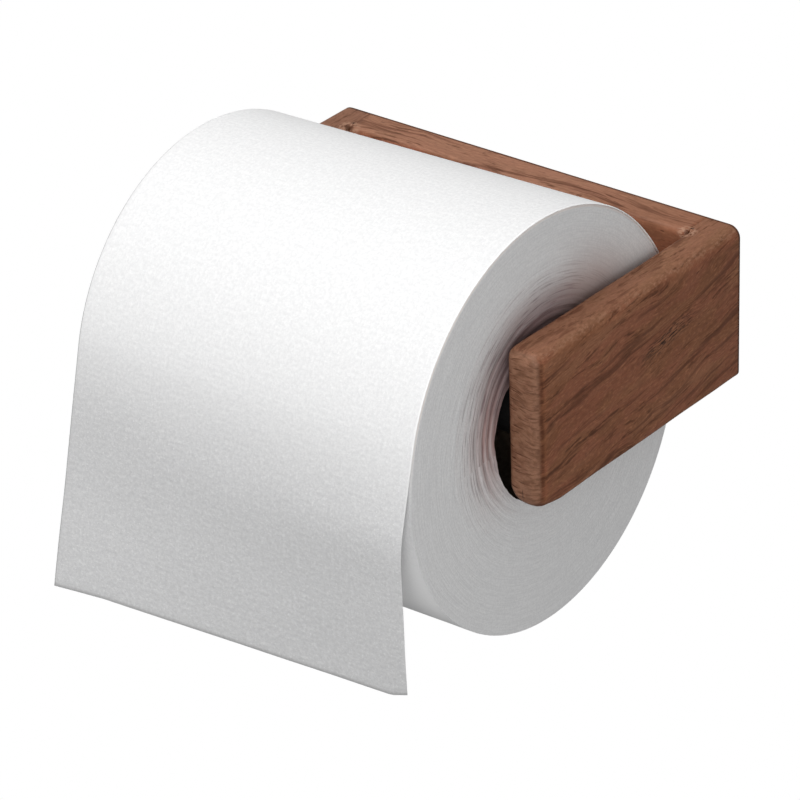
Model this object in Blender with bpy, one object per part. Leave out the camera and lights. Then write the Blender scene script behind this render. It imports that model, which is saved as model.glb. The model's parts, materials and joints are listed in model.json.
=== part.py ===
"""Wooden toilet paper holder: a glued U of three boards, a sprung two-piece spindle and a roll.

Metres, +Z up. The origin is the centre of the back board's wall face. +X runs along the roll
to the right, +Y points into the wall and -Y towards the user.
"""

import math

import bmesh
import bpy
from mathutils import Matrix, Vector

MM = 0.001
GAP = 0.3 * MM  # left between pieces that touch

# Frame: three boards of 9.5 mm stock
WIDTH = 123.0 * MM
HEIGHT = 41.0 * MM
DEPTH = 82.0 * MM  # wall to the arms' front ends
THICKNESS = 9.5 * MM
OUTER_ROUND = 3.0 * MM
INNER_ROUND = 1.8 * MM
ROUND_STEPS = 4

# Corner dowels
DOWEL_RADIUS = 2.5 * MM
DOWEL_LENGTH = 19.0 * MM
DOWEL_RISE = 11.0 * MM  # above and below the middle of the board
DOWEL_IN_ARM = 6.0 * MM

# Wall screws
SCREW_SPACING = 60.0 * MM
SCREW_LENGTH = 30.0 * MM
SCREW_SHANK_RADIUS = 2.1 * MM
SCREW_HEAD_RADIUS = 4.1 * MM
SCREW_HEAD_DEPTH = 2.4 * MM
SCREW_HEAD_SINK = 0.3 * MM
SCREW_POINT = 5.0 * MM

# Spindle
SPINDLE_Y = -64.4 * MM
BARREL_RADIUS = 11.5 * MM
BARREL_WALL = 1.0 * MM
BARREL_MOUTH_X = -2.0 * MM
END_WALL = 2.0 * MM
PLUNGER_RADIUS = BARREL_RADIUS - BARREL_WALL - GAP
PLUNGER_WALL = 1.2 * MM
PLUNGER_MOUTH_X = 14.0 * MM
PIN_RADIUS = 4.0 * MM
PIN_LENGTH = 5.4 * MM
PIN_TIP = 1.0 * MM
SOCKET_DEPTH = 6.0 * MM
SPRING_RADIUS = 6.0 * MM
SPRING_WIRE = 0.5 * MM
SPRING_TURNS = 13

# Roll of paper, hanging on the spindle inside its core
ROLL_LENGTH = 101.6 * MM
ROLL_RADIUS = 52.8 * MM
CORE_BORE = 20.5 * MM
CORE_WALL = 0.7 * MM
ROLL_DROP = 8.6 * MM  # roll axis below the spindle axis, at the middle
ROLL_TILT = math.radians(1.5)  # left end lower, where the thinner plunger leaves room for it

# Hanging sheet: where it leaves the roll, and how far each bottom corner leans forward
SHEET_LEAVES = math.radians(14.0)  # above the roll's foremost line
SHEET_THICKNESS = 0.6 * MM
SHEET_DROP = 60.5 * MM
SHEET_LEFT_LEAN = math.radians(14.6)
SHEET_RIGHT_LEAN = math.radians(-4.0)
SHEET_ROWS = 10
SHEET_COLUMNS = 6

WOOD = ((0.127, 0.051, 0.028), 0.55, 0.0)
DOWEL_WOOD = ((0.55, 0.38, 0.22), 0.6, 0.0)
STEEL = ((0.62, 0.60, 0.56), 0.35, 1.0)
PLASTIC = ((0.022, 0.022, 0.024), 0.35, 0.0)
CARDBOARD = ((0.15, 0.115, 0.085), 0.9, 0.0)
PAPER = ((0.86, 0.86, 0.85), 0.95, 0.0)

INNER_X = WIDTH / 2 - THICKNESS  # the arms' inner faces


def clear_scene():
    for old in list(bpy.data.objects):
        bpy.data.objects.remove(old, do_unlink=True)


def material(name, look):
    colour, roughness, metallic = look
    made = bpy.data.materials.new(name)
    made.use_nodes = True
    shader = made.node_tree.nodes["Principled BSDF"]
    shader.inputs["Base Color"].default_value = (*colour, 1.0)
    shader.inputs["Roughness"].default_value = roughness
    shader.inputs["Metallic"].default_value = metallic
    return made


def add_object(name, bm, look, origin=(0, 0, 0), parent=None, smooth=False):
    """Makes an object from a bmesh drawn around its own origin, and puts it at origin."""
    mesh = bpy.data.meshes.new(name)
    bmesh.ops.recalc_face_normals(bm, faces=bm.faces)
    bm.to_mesh(mesh)
    bm.free()
    if smooth:
        mesh.shade_smooth()
        mesh.set_sharp_from_angle(angle=math.radians(35))
    mesh.materials.append(material(name, look))
    made = bpy.data.objects.new(name, mesh)
    made.location = origin
    made.parent = parent
    bpy.context.scene.collection.objects.link(made)
    return made


def box_bmesh(low, high):
    bm = bmesh.new()
    size = [b - a for a, b in zip(low, high)]
    middle = [(a + b) / 2 for a, b in zip(low, high)]
    bmesh.ops.create_cube(bm, size=1.0, matrix=Matrix.Translation(middle) @ Matrix.Diagonal((*size, 1)))
    return bm


def turned_bmesh(profile, steps, closed=False):
    """Turns a profile of (x, radius) points around the X axis. Radius 0 closes on the axis."""
    bm = bmesh.new()
    verts = [bm.verts.new((x, 0.0, radius)) for x, radius in profile]
    pairs = list(zip(verts, verts[1:]))
    if closed:
        pairs.append((verts[-1], verts[0]))
    edges = [bm.edges.new(pair) for pair in pairs]
    bmesh.ops.spin(
        bm,
        geom=verts + edges,
        cent=(0, 0, 0),
        axis=(1, 0, 0),
        angle=2 * math.pi,
        steps=steps,
        use_merge=True,
    )
    bmesh.ops.remove_doubles(bm, verts=bm.verts, dist=0.00001)
    return bm


def cut(target, cutter):
    """Cuts target by cutter, which stays in the file as a hidden wire guide."""
    cutter.hide_render = True
    cutter.display_type = "WIRE"
    boolean = target.modifiers.new("cut_" + cutter.name, "BOOLEAN")
    boolean.operation = "DIFFERENCE"
    boolean.solver = "EXACT"
    boolean.object = cutter


def rod_cutter(name, start, end, radius, steps=24):
    """A plain round cutter from start to end."""
    run = Vector(end) - Vector(start)
    bm = turned_bmesh([(0, 0), (0, radius), (run.length, radius), (run.length, 0)], steps)
    turn = Vector((1, 0, 0)).rotation_difference(run).to_matrix()
    bmesh.ops.rotate(bm, verts=bm.verts, cent=(0, 0, 0), matrix=turn)
    return add_object(name, bm, WOOD, origin=start)


def bevel_edges(bm, wanted, width):
    edges = [edge for edge in bm.edges if wanted(edge.verts[0].co, edge.verts[1].co)]
    bmesh.ops.bevel(bm, geom=edges, offset=width, segments=ROUND_STEPS, profile=0.5, affect="EDGES")


def dowel_centres(side):
    """Where the dowel axes of one corner cross the joint between board and arm."""
    return [Vector((side * INNER_X, -THICKNESS / 2, rise)) for rise in (DOWEL_RISE, -DOWEL_RISE)]


def back_board():
    half = INNER_X - GAP
    bm = box_bmesh((-half, -THICKNESS, -HEIGHT / 2), (half, 0, HEIGHT / 2))

    def front_long_edge(a, b):
        return a.y < -THICKNESS / 2 and b.y < -THICKNESS / 2 and abs(a.x - b.x) > half

    bevel_edges(bm, front_long_edge, INNER_ROUND)
    board = add_object("back_board", bm, WOOD)
    for side, label in ((-1, "left"), (1, "right")):
        for number, centre in enumerate(dowel_centres(side), 1):
            depth = DOWEL_LENGTH - DOWEL_IN_ARM + GAP
            inner = centre - Vector((side * (depth + GAP), 0, 0))
            outer = centre + Vector((side * 2 * GAP, 0, 0))
            cut(board, rod_cutter(f"board_dowel_hole_{label}_{number}", inner, outer, DOWEL_RADIUS + GAP))
        cut(board, countersink(f"screw_hole_{label}", side * SCREW_SPACING / 2))
    return board


def countersink(name, x):
    """Clearance hole and 90 degree countersink for a wall screw, cut from the board's front."""
    hole = SCREW_SHANK_RADIUS + GAP
    mouth = SCREW_HEAD_RADIUS + GAP
    past = 1.0 * MM
    throat = SCREW_HEAD_SINK + SCREW_HEAD_DEPTH
    bm = turned_bmesh(
        [
            (-past, 0),
            (-past, mouth),
            (SCREW_HEAD_SINK, mouth),
            (throat, hole),
            (THICKNESS + past, hole),
            (THICKNESS + past, 0),
        ],
        32,
    )
    bmesh.ops.rotate(bm, verts=bm.verts, cent=(0, 0, 0), matrix=Matrix.Rotation(math.pi / 2, 3, "Z"))
    return add_object(name, bm, STEEL, origin=(x, -THICKNESS, 0))


def arm(side, label):
    """One arm, drawn for the right side and mirrored by side, with its socket and dowel holes."""
    outer_x = WIDTH / 2
    bm = box_bmesh((INNER_X, -DEPTH, -HEIGHT / 2), (outer_x, 0, HEIGHT / 2))
    stop = -THICKNESS + 0.8 * INNER_ROUND  # the inner roundover runs out just past the board's face
    bmesh.ops.bisect_plane(
        bm, geom=bm.verts[:] + bm.edges[:] + bm.faces[:], plane_co=(0, stop, 0), plane_no=(0, 1, 0)
    )
    near = 1e-6

    def outer_edge(a, b):
        at_front = a.y < -DEPTH + near and b.y < -DEPTH + near
        along_outside = a.x > outer_x - near and b.x > outer_x - near and abs(a.z - b.z) < near
        front_outside = at_front and (a.x > outer_x - near or b.x > outer_x - near)
        return along_outside or front_outside

    bevel_edges(bm, outer_edge, OUTER_ROUND)

    def inner_edge(a, b):
        on_inside = a.x < INNER_X + near and b.x < INNER_X + near
        along_arm = abs(a.z - b.z) < near and min(a.y, b.y) < stop - near and max(a.y, b.y) < stop + near
        upright_front = abs(a.z - b.z) > HEIGHT / 2 and a.y < -DEPTH + near
        return on_inside and (along_arm or upright_front)

    bevel_edges(bm, inner_edge, INNER_ROUND)
    bmesh.ops.scale(bm, vec=(side, 1, 1), verts=bm.verts)
    made = add_object(f"{label}_arm", bm, WOOD)

    inner = side * (INNER_X - GAP)
    bottom = side * (INNER_X + SOCKET_DEPTH)
    socket = rod_cutter(
        f"socket_{label}", (inner, SPINDLE_Y, 0), (bottom, SPINDLE_Y, 0), PIN_RADIUS + GAP, steps=32
    )
    cut(made, socket)
    for number, centre in enumerate(dowel_centres(side), 1):
        start = centre - Vector((side * GAP, 0, 0))
        end = centre + Vector((side * (DOWEL_IN_ARM + GAP), 0, 0))
        cut(made, rod_cutter(f"arm_dowel_hole_{label}_{number}", start, end, DOWEL_RADIUS + GAP))
    return made


def dowels():
    chamfer = 0.6 * MM
    for side, label in ((-1, "left"), (1, "right")):
        for number, centre in enumerate(dowel_centres(side), 1):
            bm = turned_bmesh(
                [
                    (0, 0),
                    (0, DOWEL_RADIUS - chamfer),
                    (chamfer, DOWEL_RADIUS),
                    (DOWEL_LENGTH - chamfer, DOWEL_RADIUS),
                    (DOWEL_LENGTH, DOWEL_RADIUS - chamfer),
                    (DOWEL_LENGTH, 0),
                ],
                20,
            )
            if side > 0:
                bmesh.ops.scale(bm, vec=(-1, 1, 1), verts=bm.verts)
            start = centre + Vector((side * DOWEL_IN_ARM, 0, 0))
            add_object(f"corner_dowel_{label}_{number}", bm, DOWEL_WOOD, origin=start, smooth=True)


def wall_screws():
    """Countersunk screws through the board, with a crossed driver recess, points into the wall."""
    for side, label in ((-1, "left"), (1, "right")):
        bm = turned_bmesh(
            [
                (0, 0),
                (0, SCREW_HEAD_RADIUS),
                (SCREW_HEAD_DEPTH, SCREW_SHANK_RADIUS),
                (SCREW_LENGTH - SCREW_POINT, SCREW_SHANK_RADIUS),
                (SCREW_LENGTH, 0),
            ],
            32,
        )
        bmesh.ops.rotate(bm, verts=bm.verts, cent=(0, 0, 0), matrix=Matrix.Rotation(math.pi / 2, 3, "Z"))
        place = Vector((side * SCREW_SPACING / 2, -THICKNESS + SCREW_HEAD_SINK, 0))
        screw = add_object(f"wall_screw_{label}", bm, STEEL, origin=place, smooth=True)
        long, short, deep = 2.2 * MM, 0.5 * MM, 1.6 * MM
        for turn, (across, up) in enumerate(((long, short), (short, long))):
            slot = box_bmesh((-across, -deep, -up), (across, deep, up))
            cut(screw, add_object(f"driver_slot_{label}_{turn}", slot, STEEL, origin=place))


def pin_end(shoulder, outwards, body_radius):
    """Profile points from a spindle half's shoulder out to the closed tip of its end pin."""
    tip = shoulder + outwards * PIN_LENGTH
    return [
        (shoulder - outwards * 0.8 * MM, body_radius),
        (shoulder, body_radius - 0.8 * MM),
        (shoulder, PIN_RADIUS),
        (tip - outwards * PIN_TIP, PIN_RADIUS),
        (tip, PIN_RADIUS - PIN_TIP),
        (tip, 0),
    ]


def spindle_barrel(parent):
    shoulder = INNER_X - GAP
    bore = BARREL_RADIUS - BARREL_WALL
    profile = [
        (shoulder - END_WALL, 0),
        (shoulder - END_WALL, bore),
        (BARREL_MOUTH_X, bore),
        (BARREL_MOUTH_X, BARREL_RADIUS - 0.4 * MM),
        (BARREL_MOUTH_X + 0.4 * MM, BARREL_RADIUS),
    ] + pin_end(shoulder, 1, BARREL_RADIUS)
    return add_object("spindle_barrel", turned_bmesh(profile, 48), PLASTIC, parent=parent, smooth=True)


def spindle_plunger(parent):
    shoulder = -(INNER_X - GAP)
    bore = PLUNGER_RADIUS - PLUNGER_WALL
    profile = [
        (shoulder + END_WALL, 0),
        (shoulder + END_WALL, bore),
        (PLUNGER_MOUTH_X, bore),
        (PLUNGER_MOUTH_X, PLUNGER_RADIUS),
    ] + pin_end(shoulder, -1, PLUNGER_RADIUS)
    return add_object("spindle_plunger", turned_bmesh(profile, 48), PLASTIC, parent=parent, smooth=True)


def spindle_spring(parent):
    """Open coil between the two halves' end walls: a swept ring of wire, capped at both ends."""
    seat = INNER_X - GAP - END_WALL - GAP - SPRING_WIRE
    steps_per_turn = 14
    sides = 6
    total = SPRING_TURNS * steps_per_turn
    bm = bmesh.new()
    rings = []
    for step in range(total + 1):
        angle = 2 * math.pi * step / steps_per_turn
        out = Vector((0, math.cos(angle), math.sin(angle)))
        centre = Vector((-seat + 2 * seat * step / total, 0, 0)) + SPRING_RADIUS * out
        ring = []
        for side in range(sides):
            around = 2 * math.pi * side / sides
            offset = out * math.cos(around) + Vector((1, 0, 0)) * math.sin(around)
            ring.append(bm.verts.new(centre + SPRING_WIRE * offset))
        rings.append(ring)
    for near, far in zip(rings, rings[1:]):
        for side in range(sides):
            after = (side + 1) % sides
            bm.faces.new((near[side], near[after], far[after], far[side]))
    bm.faces.new(rings[0])
    bm.faces.new(rings[-1])
    return add_object("spindle_spring", bm, STEEL, parent=parent, smooth=True)


def tube(name, inner, outer, length, steps, look, parent):
    half = length / 2
    profile = [(-half, inner), (-half, outer), (half, outer), (half, inner)]
    return add_object(name, turned_bmesh(profile, steps, closed=True), look, parent=parent, smooth=True)


def hanging_sheet(parent):
    """The free end of the paper, drawn from the line where it leaves the roll: straight at the
    left edge, and curling back to upright at the right edge."""
    bm = bmesh.new()
    skins = []
    for face in (-1, 1):
        rows = []
        for row in range(SHEET_ROWS + 1):
            line = []
            for column in range(SHEET_COLUMNS + 1):
                across = column / SHEET_COLUMNS
                place, normal = sheet_point(across, row / SHEET_ROWS)
                line.append(bm.verts.new(place + normal * face * SHEET_THICKNESS / 2))
            rows.append(line)
        skins.append(rows)
        for upper, lower in zip(rows, rows[1:]):
            for column in range(SHEET_COLUMNS):
                bm.faces.new((upper[column], upper[column + 1], lower[column + 1], lower[column]))
    back, front = skins
    rim_back = rim(back)
    rim_front = rim(front)
    for index, vert in enumerate(rim_back):
        after = (index + 1) % len(rim_back)
        bm.faces.new((vert, rim_back[after], rim_front[after], rim_front[index]))
    return add_object("hanging_sheet", bm, PAPER, parent=parent)


def rim(rows):
    """The grid's outer vertices in order, all the way round."""
    right = [row[-1] for row in rows[1:]]
    left = [row[0] for row in rows[-2:0:-1]]
    return rows[0] + right + rows[-1][-2::-1] + left


def sheet_point(across, down):
    """A point of the sheet's middle surface and its outward normal, from the top edge's middle."""
    end_lean = SHEET_LEFT_LEAN + (SHEET_RIGHT_LEAN - SHEET_LEFT_LEAN) * across
    lean_here = SHEET_LEAVES + (end_lean - SHEET_LEAVES) * down
    lean_mean = SHEET_LEAVES + (end_lean - SHEET_LEAVES) * down / 2
    fallen = down * SHEET_DROP
    x = (across - 0.5) * ROLL_LENGTH
    place = Vector((x, -fallen * math.sin(lean_mean), -fallen * math.cos(lean_mean)))
    return place, Vector((0, -math.cos(lean_here), math.sin(lean_here)))


def empty(name, location, tilt=0.0):
    """A guide for children to hang on. A positive tilt lifts its right side."""
    made = bpy.data.objects.new(name, None)
    made.location = location
    made.rotation_euler = (0, -tilt, 0)
    bpy.context.scene.collection.objects.link(made)
    return made


def main():
    clear_scene()
    back_board()
    arm(-1, "left")
    arm(1, "right")
    dowels()
    wall_screws()

    spindle_axis = empty("spindle_axis", (0, SPINDLE_Y, 0))
    spindle_barrel(spindle_axis)
    spindle_plunger(spindle_axis)
    spindle_spring(spindle_axis)

    roll_axis = empty("roll_axis", (0, SPINDLE_Y, -ROLL_DROP), ROLL_TILT)
    core_outside = CORE_BORE + CORE_WALL
    tube("cardboard_core", CORE_BORE, core_outside, ROLL_LENGTH, 48, CARDBOARD, roll_axis)
    tube("paper_roll", core_outside + GAP, ROLL_RADIUS, ROLL_LENGTH, 80, PAPER, roll_axis)

    reach = ROLL_RADIUS + GAP + SHEET_THICKNESS / 2
    sheet_line = empty("sheet_line", (0, -reach * math.cos(SHEET_LEAVES), reach * math.sin(SHEET_LEAVES)))
    sheet_line.parent = roll_axis
    hanging_sheet(sheet_line)


main()
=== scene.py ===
"""Looks of the wooden toilet paper holder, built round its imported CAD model.

Metres, in the CAD's frame: +X along the roll to the right, +Y into the wall, +Z up, with the
origin in the middle of the back board's wall face.
"""

import json
import math

import bmesh
import bpy
import numpy as np
from mathutils import Matrix, Vector, noise


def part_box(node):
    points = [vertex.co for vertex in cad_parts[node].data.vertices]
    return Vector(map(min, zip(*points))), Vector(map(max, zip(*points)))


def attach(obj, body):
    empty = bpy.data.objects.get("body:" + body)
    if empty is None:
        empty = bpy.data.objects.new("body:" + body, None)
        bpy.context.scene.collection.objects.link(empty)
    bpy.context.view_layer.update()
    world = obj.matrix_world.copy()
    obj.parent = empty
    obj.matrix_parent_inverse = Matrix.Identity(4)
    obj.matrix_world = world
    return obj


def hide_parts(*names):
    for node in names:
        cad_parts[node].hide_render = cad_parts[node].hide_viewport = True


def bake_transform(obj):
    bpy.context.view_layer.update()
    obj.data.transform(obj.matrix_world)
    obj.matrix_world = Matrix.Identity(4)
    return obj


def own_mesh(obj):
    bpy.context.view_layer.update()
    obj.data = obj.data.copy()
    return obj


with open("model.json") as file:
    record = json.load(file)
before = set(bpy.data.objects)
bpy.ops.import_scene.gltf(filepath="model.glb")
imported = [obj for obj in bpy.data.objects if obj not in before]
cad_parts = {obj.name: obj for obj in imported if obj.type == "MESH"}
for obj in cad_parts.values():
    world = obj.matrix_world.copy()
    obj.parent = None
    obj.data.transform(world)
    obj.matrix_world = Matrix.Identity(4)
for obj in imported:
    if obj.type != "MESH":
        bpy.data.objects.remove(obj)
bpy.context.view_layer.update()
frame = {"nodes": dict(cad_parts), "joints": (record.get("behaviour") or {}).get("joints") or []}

MM = 0.001
WELD = 0.002 * MM
SHARP_ANGLE = math.radians(50)
SCREW_SHARP_ANGLE = math.radians(40)

# Camera
CAMERA_AZIMUTH = 39.064
CAMERA_ELEVATION = 28.913
CAMERA_ROLL = -1.951
CAMERA_LENS = 194.31  # mm, on a 36 mm sensor
CAMERA_TARGET = Vector((0, -50 * MM, 0))
CAMERA_DISTANCE = 1051.75 * MM
CAMERA_ASIDE = -3.611 * MM
CAMERA_RAISED = -21.119 * MM

# Stage and light
FLOOR_Z = -1.4
FLOOR_RADIUS = 5.0
AMBIENT = 0.31
KEY_POWER = 5.8
KEY_SIZE = 0.60
KEY_PLACE = Vector((-0.124, -0.308, 0.854))
FILL_POWER = 1.55
FILL_SIZE = 0.50
FILL_PLACE = Vector((0.40, -0.60, 0.12))

# Frame boards
EDGE_ROUND = 3.0 * MM  # the arms' outer edges
ROUTED_ROUND = 1.8 * MM  # the inner edges
WALL_EDGE_ROUND = 0.3 * MM
JOINT_LINE = 0.015 * MM
GRID_STEP = 1.4 * MM
ARC_STEPS = 6
LOWER_ROUND = 1.4 * MM  # the arms' outer bottom edge
LOWER_TIP_ROUND = 3.6 * MM  # the same edge at the tip
TIP_ROUND = 4.6 * MM  # the arms' inner bottom corner at the tip
SANDING = 0.07 * MM  # how far hand sanding leaves the faces off true

# Bores and screws
BORE_STEPS = 40
BORE_GAP = 0.3 * MM
SCREW_STEPS = 44
HEAD_RIM = 0.12 * MM  # the head's edge is rounded off by this much
TINY = 0.0005 * MM
HEAD_DEPTH = 2.4 * MM
SCREW_SHANK = 2.1 * MM
SCREW_CORE = 1.45 * MM
THREAD_PITCH = 1.8 * MM
THREAD_START = 9.0 * MM
SCREW_POINT = 5.0 * MM
THREAD_STEP = 0.13 * MM
RECESS_LONG = 2.2 * MM
RECESS_SHORT = 0.5 * MM
RECESS_DEPTH = 1.6 * MM

# Spindle
SPINDLE_PIN = 4.0 * MM
SOCKET_DEPTH = 6.0 * MM
SPRING_WIRE = 0.5 * MM
SPRING_TURNS = 13
TURN_STEPS = 30
WIRE_SIDES = 12
CLOSED_TURN = 2.2  # pitch of the end turns, in wire radii

# Roll
ROLL_STEPS = 320
CORE_STEPS = 120
ROLL_RADIUS = 52.6 * MM
ROLL_HALF = 50.8 * MM
CORE_BORE = 20.5 * MM
CORE_OUTSIDE = 21.2 * MM
PAPER_INSIDE = 21.3 * MM
CORE_STRIP = 68 * MM  # how far the core's seam climbs in one turn
PLY_STEP = 0.4 * MM
LOOSE_STEP = 0.22 * MM
LOOSE_ZONE = 11.5 * MM  # the inner windings that stand out of line with each other
LOOSE_DEPTH = 0.30 * MM
DISH_DEPTH = 0.55 * MM
CORE_SUNK = 1.6 * MM
LIP_DEPTH = 1.4 * MM  # the inner plies' ends lean in over the core's end by this much
LIP_RADIUS = 20.0 * MM
LIP_BACK = LIP_RADIUS + 0.3 * MM  # radius of the lip's hidden inner side
RIM_ROUND = 0.62 * MM  # the outer windings' edges, where they lie loose over the top
RING_CENTRE = (0.3 * MM, 3.0 * MM)  # the loose rings are not concentric with the core
RING_STEPS = (
    (25.8 * MM, 1.0, 0.64),
    (28.1 * MM, 0.64, 0.38),
    (31.0 * MM, 0.38, 0.18),
    (33.2 * MM, 0.18, 0.07),
    (36.0 * MM, 0.07, 0.0),
)
RING_BLUR = 0.25 * MM
# painted shade with the wood's reflected colour, for the upper loose rings
RING_SHADE_AND_REFLECTION = (0.46, 0.31, 0.295)

# Sheet
PLY_THICKNESS = 0.25 * MM
PLY_GAP = 0.01 * MM
EMBOSS_PITCH = 1.38 * MM
EDGE_SHADE_LINE = 0.32 * MM  # painted shade: the dark line along the cut left edge
THROUGH_PLY = (0.90, 0.90, 0.90)
PLY_LETS_THROUGH = 0.26  # share of light that a free ply passes on
SHEET_LEAVES = math.radians(14.0)  # above the roll's foremost line
SHEET_STARTS_Z = 5.0 * MM  # height of its hidden end behind the roll
SHEET_STEP = 1.2 * MM
SHEET_FOOT = (  # height of the torn edge, from the left (0) to the right (1)
    (0.0, -55.6 * MM),
    (0.06, -55.3 * MM),
    (0.15, -54.9 * MM),
    (0.40, -55.2 * MM),
    (0.957, -55.75 * MM),
    (1.0, -54.4 * MM),
)
LEAN = 0.25
LEAN_LOST = 0.262  # by the right edge, further down
SHEET_BEVEL = 0.35 * MM
SHEET_FREE = 58 * MM  # the last stretch, which waves a little
FREE_ROWS = 14  # the wave comes in over this many rows
FALL_STEPS = 52
SHEET_CURL = 0.10 * MM  # its thin side edges lie down on the roll's rims

# Wood tones
ARM_TONES = (  # dark, middle, light and warm
    (0.245, 0.090, 0.038),
    (0.300, 0.118, 0.053),
    (0.362, 0.152, 0.076),
    (0.325, 0.112, 0.058),
)
BOARD_TONES = ((0.245, 0.092, 0.043), (0.310, 0.125, 0.062), (0.390, 0.172, 0.094), (0.345, 0.122, 0.068))
END_GRAIN = (0.170, 0.080, 0.046)
END_GRAIN_LIGHT = (0.325, 0.168, 0.104)
DRY_GRAIN_AND_HIGHLIGHT = (0.34, 0.19, 0.125)  # where the oil has worn off, and the painted highlight along the rounded edges
# Painted highlight and sheen: paler tones for the upper faces, where the light from above falls
ARM_TOP_SHEEN = (0.235, 0.128, 0.078)
LEFT_ARM_TOP_SHEEN = (0.33, 0.165, 0.105)
BOARD_TOP_SHEEN = (0.43, 0.218, 0.138)
PORE_CLUSTER = (-30 * MM, 3.4 * MM)  # along and across the right arm
WALL_EDGE_SHADE = 1.1 * MM  # painted shade: a dark line along the edges that touch the wall
DARK_END = (6 * MM, 52 * MM)  # the back board darkens over this stretch, to its right end

# Places read from the frame
WALL_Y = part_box("back_board")[1].y
ARM_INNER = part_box("right_arm")[0].x
INNER_CORNER = Vector((ARM_INNER, -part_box("back_board")[0].y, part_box("back_board")[1].z))
joints = {j["name"]: j for j in frame["joints"]}
ROLL_CENTRE = Vector(joints["roll_turn"]["pos_m"])
ROLL_AXIS = Vector(joints["roll_turn"]["axis"]).normalized()
SPINDLE = Vector(joints["spindle_turn"]["pos_m"])
ROLL_TILT = math.atan2(ROLL_AXIS.z, ROLL_AXIS.x)

# Paper tones
PAPER_WHITE = (0.935, 0.935, 0.935)
PAPER_SHADE = (0.755, 0.755, 0.76)
PAPER_EDGE_SHADE = (0.42, 0.42, 0.42)


def noise_at(point, scale, seed=0.0):
    """Smooth noise from -1 to 1. Scale is in cycles per metre."""
    return noise.noise(Vector(point) * scale + Vector((seed, 2.3 * seed, -seed)))


def toned(tone, share):
    return tuple(share * c for c in tone)


def smoothstep(t):
    t = min(max(t, 0.0), 1.0)
    return t * t * (3 - 2 * t)


# ---------------------------------------------------------------- camera and stage


def add_camera():
    azimuth, elevation, roll = (
        math.radians(x) for x in (CAMERA_AZIMUTH, CAMERA_ELEVATION, CAMERA_ROLL)
    )
    back = Vector(
        (
            math.sin(azimuth) * math.cos(elevation),
            -math.cos(azimuth) * math.cos(elevation),
            math.sin(elevation),
        )
    )
    level_right = (-back).cross(Vector((0, 0, 1))).normalized()
    level_up = level_right.cross(-back)
    right = level_right * math.cos(roll) + level_up * math.sin(roll)
    up = level_up * math.cos(roll) - level_right * math.sin(roll)
    matrix = Matrix((right, up, back)).transposed().to_4x4()
    matrix.translation = CAMERA_TARGET + back * CAMERA_DISTANCE + right * CAMERA_ASIDE + up * CAMERA_RAISED
    data = bpy.data.cameras.new("camera")
    data.lens = CAMERA_LENS
    data.sensor_width = 36.0
    data.clip_start = 0.02
    data.clip_end = 60.0
    camera = bpy.data.objects.new("camera", data)
    camera.matrix_world = matrix
    bpy.context.scene.collection.objects.link(camera)
    bpy.context.scene.camera = camera


def area_light(name, place, aim, size, power):
    data = bpy.data.lights.new(name, "AREA")
    data.shape = "DISK"
    data.size = size
    data.energy = power
    light = bpy.data.objects.new(name, data)
    light.location = place
    light.rotation_mode = "QUATERNION"
    light.rotation_quaternion = (aim - place).to_track_quat("-Z", "Y")
    bpy.context.scene.collection.objects.link(light)


def add_stage():
    """A white sweep far below and round the object, lit by itself, and two soft lights."""
    bpy.context.scene.view_settings.view_transform = "Standard"
    world = bpy.data.worlds.new("studio")
    world.use_nodes = True
    background = world.node_tree.nodes["Background"]
    background.inputs["Color"].default_value = (1, 1, 1, 1)
    background.inputs["Strength"].default_value = AMBIENT
    bpy.context.scene.world = world

    look = Look("pale_sweep")
    look.finish(1.0, Specular_IOR_Level=0.0, Emission_Color=(1, 1, 1, 1), Emission_Strength=1.0)

    bm = bmesh.new()
    bmesh.ops.create_circle(bm, cap_ends=True, radius=FLOOR_RADIUS, segments=96)
    floor = plain_object("floor", bm)
    floor.location.z = FLOOR_Z
    bm = bmesh.new()
    bmesh.ops.create_uvsphere(bm, u_segments=96, v_segments=48, radius=FLOOR_RADIUS)
    sweep = plain_object("backdrop", bm)
    for part in (floor, sweep):
        part.data.materials.append(look.material)
        part.visible_diffuse = False
        part.visible_glossy = False
        part.visible_transmission = False
        part.visible_shadow = False

    area_light("key", KEY_PLACE, Vector((0, -0.06, 0)), KEY_SIZE, KEY_POWER)
    area_light("fill", FILL_PLACE, Vector((0, -0.06, 0)), FILL_SIZE, FILL_POWER)


def plain_object(name, bm):
    mesh = bpy.data.meshes.new(name)
    bm.to_mesh(mesh)
    bm.free()
    made = bpy.data.objects.new(name, mesh)
    bpy.context.scene.collection.objects.link(made)
    return made


# ---------------------------------------------------------------- node materials


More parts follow.
